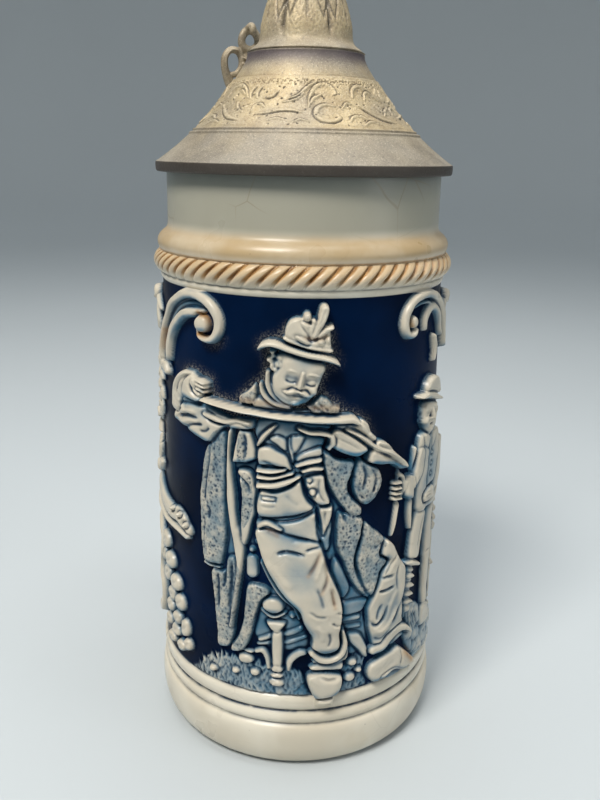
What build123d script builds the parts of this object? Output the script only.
"""Half-litre relief beer stein: a glazed stoneware mug with a hinged pewter lid.

Millimetres. The origin is the centre of the foot, +Z is up and the handle is on +Y.
The lid, its finial, its shank and the thumblift turn together about one steel pin
on top of the handle. Everything else is fixed to the mug.
"""

from build123d import *
import os
from math import cos, pi, radians, sin

# Mug: radii and heights of the turned body
FOOT_R = 39.5
BASE_R = 43.6
BASE_TOP_Z = 14.8
BEAD_R = 43.0
LEDGE_Z = 19.2
WALL_FOOT_R = 41.4
WALL_FOOT_Z = 24.2
WALL_TOP_R = 40.4
ROPE_R = 42.1
ROPE_LOW_Z = 139.4
ROPE_TOP_Z = 145.2
SHOULDER_R = 41.1
BAND_R = 38.1
BAND_Z = 150.6
LIP_Z = 167.0
LIP_ROUND = 1.5
INNER_R = 35.0
FLOOR_Z = 7.5
FLOOR_ROUND = 7.0

# Handle: an ear on +Y. Its centre line starts inside the wall, in the YZ plane, and turns
# downwards through these arcs, each a radius and an angle, before running back to the wall.
HANDLE_START = (35.0, 142.0)
HANDLE_HEADING = 42.0
HANDLE_ARCS = [(25.0, 107.0), (75.0, 40.0), (30.0, 45.0)]
HANDLE_TAIL = 32.0
HANDLE_WIDE = 14.0
HANDLE_THICK = 10.5
HANDLE_CORNER = 3.6

# Hinge: five rings on one pin, three on the strap and two on the lid's shank
HINGE_Y = 47.0
HINGE_Z = 172.0
RING_R = 3.8
RING_WIDE = 3.6
RING_GAP = 0.1
SWING_R = RING_R + 0.45
PIN_R = 1.5
PIN_PLAY = 0.05
CAP_THICK = 1.4
CAP_ROUND = 1.1

# Collar and strap that hold the hinge to the handle
COLLAR_HEADING = -9.0
COLLAR_TURN = 21.0
COLLAR_THICK = 1.8
COLLAR_PLAY = 0.1
STRAP_FOOT_HALF = 5.6
STRAP_FOOT_Y = 60.5
STRAP_FOOT_LONG = 7.0

# Lid: a turned pewter dome that caps the lip
LID_R = 41.0
LID_LOW_Z = 165.6
LID_RIM_Z = 168.7
SKIRT_INNER_R = 39.0
SEAT_INNER_R = 33.0
RING_OUTER_R = 34.4
RING_DROP = 4.0
FLANGE_R = 30.8
FLANGE_Z = 176.2
BAND_MID = (24.6, 182.6)
BAND_TOP_R = 19.8
BAND_TOP_Z = 189.1
COVE_R = 15.6
LID_TOP_Z = 196.3
LID_THICK = 1.7
STUD_R = 3.0
STUD_PLAY = 0.05

# Finial: a cast steeple with a bud on top
FINIAL_FOOT_R = 15.2
FINIAL_WAIST = (12.8, 198.8)
FINIAL_NECK = (5.2, 226.0)
FINIAL_RING_R = 6.8
FINIAL_BUD_R = 6.2
FINIAL_TOP_Z = 245.0

# Shank and thumblift
SHANK_HALF = 7.2
SADDLE_TOP_Z = 178.4
SADDLE_FRONT_Y = 42.5
SADDLE_BACK_Y = 48.6
LIFT_FRONT_Y = 45.2
LIFT_THICK = 2.8
LIFT_TOP_Z = 209.4


def turned(face):
    """A solid of revolution about Z from a face drawn in the XZ plane."""
    return revolve(face, axis=Axis.Z)


def profile(*parts):
    """A closed face in the XZ plane from connected edges given as (x, z) curves."""
    with BuildSketch(Plane.XZ) as sketch:
        with BuildLine():
            for part in parts:
                part()
        make_face()
    return sketch.sketch


def line(*points):
    return lambda: Polyline(*points)


def arc(start, middle, end):
    return lambda: ThreePointArc(start, middle, end)


def smooth(*points, tangents=None):
    return lambda: Spline(*points, tangents=tangents)


def make_mug_body():
    """Turned stoneware body: flat foot, base, bead, wall, rope band, shoulder, band and lip."""
    rope_mid_z = (ROPE_LOW_Z + ROPE_TOP_Z) / 2
    groove_r = WALL_FOOT_R + 0.5
    lip_outer = (BAND_R, LIP_Z - LIP_ROUND)
    lip_inner = (INNER_R, LIP_Z - LIP_ROUND)
    floor_edge = (INNER_R, FLOOR_Z + FLOOR_ROUND)
    floor_flat = (INNER_R - FLOOR_ROUND, FLOOR_Z)
    corner = FLOOR_ROUND * (1 - cos(radians(45)))
    face = profile(
        line((0, 0), (FOOT_R, 0)),
        arc((FOOT_R, 0), (BASE_R - 0.9, 3.0), (BASE_R, 8.0)),
        line((BASE_R, 8.0), (BASE_R, BASE_TOP_Z - 1.4)),
        arc((BASE_R, BASE_TOP_Z - 1.4), (BASE_R - 0.3, BASE_TOP_Z - 0.4), (BEAD_R - 0.6, BASE_TOP_Z)),
        arc((BEAD_R - 0.6, BASE_TOP_Z), (BEAD_R, (BASE_TOP_Z + LEDGE_Z) / 2), (groove_r, LEDGE_Z)),
        arc((groove_r, LEDGE_Z), (groove_r + 0.5, LEDGE_Z + 2.2), (WALL_FOOT_R, WALL_FOOT_Z)),
        line((WALL_FOOT_R, WALL_FOOT_Z), (WALL_TOP_R, ROPE_LOW_Z)),
        arc((WALL_TOP_R, ROPE_LOW_Z), (ROPE_R, rope_mid_z), (WALL_TOP_R + 0.2, ROPE_TOP_Z)),
        arc((WALL_TOP_R + 0.2, ROPE_TOP_Z), (SHOULDER_R, ROPE_TOP_Z + 2.0), (SHOULDER_R - 1.2, BAND_Z - 1.6)),
        arc((SHOULDER_R - 1.2, BAND_Z - 1.6), (BAND_R + 0.7, BAND_Z - 0.9), (BAND_R, BAND_Z + 0.8)),
        line((BAND_R, BAND_Z + 0.8), lip_outer),
        arc(lip_outer, ((BAND_R + INNER_R) / 2, LIP_Z), lip_inner),
        line(lip_inner, floor_edge),
        arc(floor_edge, (INNER_R - corner, FLOOR_Z + corner), floor_flat),
        line(floor_flat, (0, FLOOR_Z), (0, 0)),
    )
    return turned(face)


def heading(degrees):
    """The unit direction in the YZ plane at an angle above +Y."""
    return cos(radians(degrees)), sin(radians(degrees))


def handle_centre():
    """Centre of the handle's first arc, over which the collar sits."""
    out, up = heading(HANDLE_HEADING - 90)
    radius = HANDLE_ARCS[0][0]
    return HANDLE_START[0] + radius * out, HANDLE_START[1] + radius * up


def handle_path():
    """Centre line of the whole handle."""
    with BuildLine(Plane.YZ) as path:
        point = HANDLE_START
        angle = HANDLE_HEADING
        for radius, turn in HANDLE_ARCS:
            JernArc(start=point, tangent=heading(angle), radius=radius, arc_size=-turn)
            centre = [p + radius * d for p, d in zip(point, heading(angle - 90))]
            angle -= turn
            point = tuple(c + radius * d for c, d in zip(centre, heading(angle + 90)))
        tail_end = tuple(p + HANDLE_TAIL * d for p, d in zip(point, heading(angle)))
        Line(point, tail_end)
    return path.wires()[0]


def collar_path(start, turn):
    """A stretch of the handle's first arc, from a heading and through an angle."""
    centre = handle_centre()
    radius = HANDLE_ARCS[0][0]
    point = tuple(c + radius * d for c, d in zip(centre, heading(start + 90)))
    with BuildLine(Plane.YZ) as path:
        JernArc(start=point, tangent=heading(start), radius=radius, arc_size=-turn)
    return path.wires()[0]


def swept(path, grow):
    """The handle's rounded section, grown by a margin, swept along a path."""
    start = Plane(origin=path @ 0, x_dir=(1, 0, 0), z_dir=path % 0)
    section = start * RectangleRounded(HANDLE_WIDE + 2 * grow, HANDLE_THICK + 2 * grow, HANDLE_CORNER + grow)
    return sweep(section, path=path)


def body_envelope():
    """The mug's outside as a filled solid: what the handle's two ends are cut back to."""
    return Pos(0, 0, LIP_Z / 2) * Cylinder(BASE_R + 10, LIP_Z) & (
        make_mug_body() + Pos(0, 0, LIP_Z / 2) * Cylinder(INNER_R + 1, LIP_Z - 8)
    )


def make_handle():
    """Stoneware ear handle, luted to the wall at both ends."""
    return swept(handle_path(), 0) - body_envelope()


def make_handle_collar():
    """Pewter band cast round the top of the handle."""
    outer = swept(collar_path(COLLAR_HEADING, COLLAR_TURN), COLLAR_PLAY + COLLAR_THICK)
    return outer - swept(collar_path(COLLAR_HEADING + 5, COLLAR_TURN + 10), COLLAR_PLAY)


def along_hinge(radius, x_low, x_high):
    """A cylinder on the hinge axis between two x values."""
    middle = Pos((x_low + x_high) / 2, HINGE_Y, HINGE_Z)
    return middle * Rot(0, 90, 0) * Cylinder(radius, x_high - x_low)


def ring_span(index):
    """The x limits of one of the five hinge rings, counted from -X."""
    low = (index - 2.5) * RING_WIDE
    return low, low + RING_WIDE


LID_RINGS = (1, 3)
STRAP_RINGS = (0, 2, 4)
HINGE_HALF = 2.5 * RING_WIDE


def hinge_rings(indices):
    """The rings of one leaf, with a gap wherever a ring meets one of the other leaf."""
    rings = Part()
    for index in indices:
        low, high = ring_span(index)
        low += RING_GAP if index > 0 else 0
        high -= RING_GAP if index < 4 else 0
        rings += along_hinge(RING_R, low, high)
    return rings


def swing_room(indices):
    """Space that the other leaf's rings need to turn in."""
    room = Part()
    for index in indices:
        low, high = ring_span(index)
        room += along_hinge(SWING_R, low - RING_GAP, high + RING_GAP)
    return room


def side_plate(points, half):
    """A plate drawn in the YZ plane and extruded to both sides of the middle."""
    with BuildPart() as plate:
        with BuildSketch(Plane.YZ):
            with BuildLine():
                Polyline(*points, close=True)
            make_face()
        extrude(amount=half, both=True)
    return plate.part


def make_hinge_strap():
    """Pewter strap from the collar up to the hinge, with three of the five rings."""
    foot_z = handle_centre()[1] + HANDLE_ARCS[0][0] - 1.5
    front_y = STRAP_FOOT_Y - STRAP_FOOT_LONG / 2
    back_y = STRAP_FOOT_Y + STRAP_FOOT_LONG / 2
    arm = side_plate(
        [
            (HINGE_Y - 2.6, HINGE_Z - 1.0), (HINGE_Y - 2.2, HINGE_Z - 6.0), (HINGE_Y + 3.0, HINGE_Z - 12.0),
            (front_y, foot_z + 8.0), (front_y, foot_z), (back_y, foot_z), (back_y, foot_z + 9.0),
            (HINGE_Y + 8.0, HINGE_Z - 9.6), (HINGE_Y + 3.2, HINGE_Z - 5.6), (HINGE_Y + 1.9, HINGE_Z - 2.4),
        ],
        HINGE_HALF,
    )
    with BuildPart() as taper:
        with BuildSketch(Plane.XZ.offset(-(HINGE_Y + 10))):
            with BuildLine():
                Polyline(
                    (-HINGE_HALF, HINGE_Z + 5), (-HINGE_HALF, HINGE_Z - 5), (-STRAP_FOOT_HALF, foot_z + 1),
                    (-STRAP_FOOT_HALF, foot_z - 8), (STRAP_FOOT_HALF, foot_z - 8), (STRAP_FOOT_HALF, foot_z + 1),
                    (HINGE_HALF, HINGE_Z - 5), (HINGE_HALF, HINGE_Z + 5), close=True,
                )
            make_face()
        extrude(amount=30, both=True)
    strap = (arm & taper.part) + hinge_rings(STRAP_RINGS)
    strap -= swing_room(LID_RINGS)
    strap -= swept(collar_path(COLLAR_HEADING + 20, COLLAR_TURN + 50), COLLAR_PLAY + COLLAR_THICK)
    return strap - along_hinge(PIN_R + PIN_PLAY, -HINGE_HALF - 1, HINGE_HALF + 1)


def make_hinge_pin():
    """Steel pin through all five rings."""
    return along_hinge(PIN_R, -HINGE_HALF, HINGE_HALF)


def make_pin_end_caps():
    """Two domed pewter plugs that close the hinge and keep the pin in."""
    plug = Cylinder(RING_R, CAP_THICK, align=(Align.CENTER, Align.CENTER, Align.MIN))
    plug = fillet(plug.edges().group_by(Axis.Z)[-1], CAP_ROUND)
    caps = Part()
    for side in (-1, 1):
        caps += Pos(side * HINGE_HALF, HINGE_Y, HINGE_Z) * Rot(0, side * 90, 0) * plug
    return caps


def lid_outside(top_z=LID_TOP_Z):
    """Edges of the lid's outside from the rim's lower corner up to the top edge."""
    return [
        line((LID_R, LID_LOW_Z), (LID_R, LID_RIM_Z - 0.4)),
        arc((LID_R, LID_RIM_Z - 0.4), (LID_R - 0.15, LID_RIM_Z - 0.1), (LID_R - 0.6, LID_RIM_Z + 0.1)),
        arc((LID_R - 0.6, LID_RIM_Z + 0.1), (36.0, LID_RIM_Z + 3.0), (FLANGE_R, FLANGE_Z)),
        line((FLANGE_R, FLANGE_Z), (FLANGE_R - 0.4, FLANGE_Z + 0.7)),
        smooth((FLANGE_R - 0.4, FLANGE_Z + 0.7), BAND_MID, (BAND_TOP_R, BAND_TOP_Z)),
        line((BAND_TOP_R, BAND_TOP_Z), (BAND_TOP_R - 0.5, BAND_TOP_Z + 0.5)),
        arc((BAND_TOP_R - 0.5, BAND_TOP_Z + 0.5), (16.9, 192.2), (COVE_R, top_z - 0.8)),
        line((COVE_R, top_z - 0.8), (COVE_R, top_z)),
    ]


def make_lid_envelope():
    """The lid's outside as a filled solid, for cutting the shank to fit on it."""
    return turned(
        profile(
            *lid_outside(),
            line((COVE_R, LID_TOP_Z), (0, LID_TOP_Z), (0, LID_LOW_Z), (LID_R, LID_LOW_Z)),
        )
    )


def make_lid_dome():
    """Pewter dome: rim and skirt over the lip, locating ring, flange, engraved band and cove."""
    seat_z = LIP_Z + 0.02
    drop_z = seat_z - RING_DROP
    inner_top = LID_TOP_Z - LID_THICK
    face = profile(
        *lid_outside(),
        line((COVE_R, LID_TOP_Z), (STUD_R + STUD_PLAY, LID_TOP_Z), (STUD_R + STUD_PLAY, inner_top)),
        line((STUD_R + STUD_PLAY, inner_top), (COVE_R - LID_THICK - 0.4, inner_top)),
        smooth(
            (COVE_R - LID_THICK - 0.4, inner_top), (BAND_TOP_R - LID_THICK - 1.2, BAND_TOP_Z - 1.6),
            (BAND_MID[0] - LID_THICK, BAND_MID[1] - 1.4), (SEAT_INNER_R, seat_z + 1.6),
        ),
        line(
            (SEAT_INNER_R, seat_z + 1.6), (SEAT_INNER_R, drop_z), (RING_OUTER_R - 0.4, drop_z),
            (RING_OUTER_R, seat_z - 1.0), (RING_OUTER_R, seat_z), (SKIRT_INNER_R, seat_z),
            (SKIRT_INNER_R, LID_LOW_Z), (LID_R, LID_LOW_Z),
        ),
    )
    return turned(face)


def make_finial():
    """Cast steeple: flared foot, tapering spire, neck ring and bud, with a stud into the lid."""
    foot_z = LID_TOP_Z
    ring_low = FINIAL_NECK[1] + 0.6
    ring_top = ring_low + 2.6
    bud_low = ring_top + 1.4
    face = profile(
        line((0, foot_z - LID_THICK), (STUD_R, foot_z - LID_THICK), (STUD_R, foot_z + 1.6)),
        line((STUD_R, foot_z + 1.6), (8.0, foot_z + 1.6), (8.0, foot_z), (FINIAL_FOOT_R, foot_z)),
        line((FINIAL_FOOT_R, foot_z), (FINIAL_FOOT_R, foot_z + 0.5)),
        arc((FINIAL_FOOT_R, foot_z + 0.5), (13.6, 197.6), FINIAL_WAIST),
        smooth(FINIAL_WAIST, (11.6, 204.2), (9.6, 210.5), FINIAL_NECK, tangents=[(-0.1, 1), (-0.12, 1)]),
        line(FINIAL_NECK, (FINIAL_NECK[0], ring_low)),
        arc((FINIAL_NECK[0], ring_low), (FINIAL_RING_R, (ring_low + ring_top) / 2), (FINIAL_NECK[0] - 0.6, ring_top)),
        line((FINIAL_NECK[0] - 0.6, ring_top), (4.0, bud_low)),
        smooth((4.0, bud_low), (FINIAL_BUD_R, bud_low + 5.0), (3.0, FINIAL_TOP_Z - 2.6), (0, FINIAL_TOP_Z)),
        line((0, FINIAL_TOP_Z), (0, foot_z - LID_THICK)),
    )
    return turned(face)


def make_lid_shank():
    """Pewter tongue soldered on the lid's flange, with a saddle and two of the five rings."""
    tongue = side_plate(
        [
            (31.0, FLANGE_Z - 3.0), (31.0, FLANGE_Z + 1.4), (33.5, FLANGE_Z + 1.6), (SADDLE_FRONT_Y, SADDLE_TOP_Z - 2.2),
            (SADDLE_FRONT_Y + 1.4, SADDLE_TOP_Z), (SADDLE_BACK_Y, SADDLE_TOP_Z), (SADDLE_BACK_Y, HINGE_Z + 2.0),
            (HINGE_Y, HINGE_Z), (HINGE_Y - 2.0, HINGE_Z - 3.0), (LID_R + 1.2, LID_RIM_Z - 1.4), (LID_R - 3, LID_RIM_Z - 1.4),
        ],
        SHANK_HALF,
    )
    shank = tongue + hinge_rings(LID_RINGS)
    shank -= make_lid_envelope()
    shank -= swing_room(STRAP_RINGS)
    shank -= along_hinge(PIN_R + PIN_PLAY, -HINGE_HALF - 1, HINGE_HALF + 1)
    return max(shank.solids(), key=lambda solid: solid.volume)


def make_thumblift():
    """Openwork pewter thumblift: a stem, two side scrolls and a crown, standing on the shank's saddle."""
    scroll_z = 196.5
    with BuildPart() as lift:
        with BuildSketch(Plane.XZ.offset(-(LIFT_FRONT_Y + LIFT_THICK / 2))):
            with Locations((0, (SADDLE_TOP_Z + 191.0) / 2)):
                Trapezoid(9.6, 191.0 - SADDLE_TOP_Z, 82)
            for side in (-1, 1):
                with Locations((side * 4.6, scroll_z)):
                    Ellipse(4.7, 6.4)
            with Locations((0, 203.0)):
                Circle(4.3)
            with Locations((0, LIFT_TOP_Z - 2.7)):
                Circle(2.7)
            for side in (-1, 1):
                with Locations((side * 5.0, scroll_z + 0.8)):
                    Ellipse(1.9, 3.0, mode=Mode.SUBTRACT)
            with Locations((0, 203.2)):
                Circle(1.4, mode=Mode.SUBTRACT)
        extrude(amount=LIFT_THICK / 2, both=True)
    return lift.part


PARTS = {
    "mug_body": make_mug_body,
    "handle": make_handle,
    "handle_collar": make_handle_collar,
    "hinge_strap": make_hinge_strap,
    "hinge_pin": make_hinge_pin,
    "pin_end_caps": make_pin_end_caps,
    "lid_dome": make_lid_dome,
    "finial": make_finial,
    "lid_shank": make_lid_shank,
    "thumblift": make_thumblift,
}

os.makedirs("parts", exist_ok=True)
for name, make in PARTS.items():
    export_step(make(), f"parts/{name}.step")
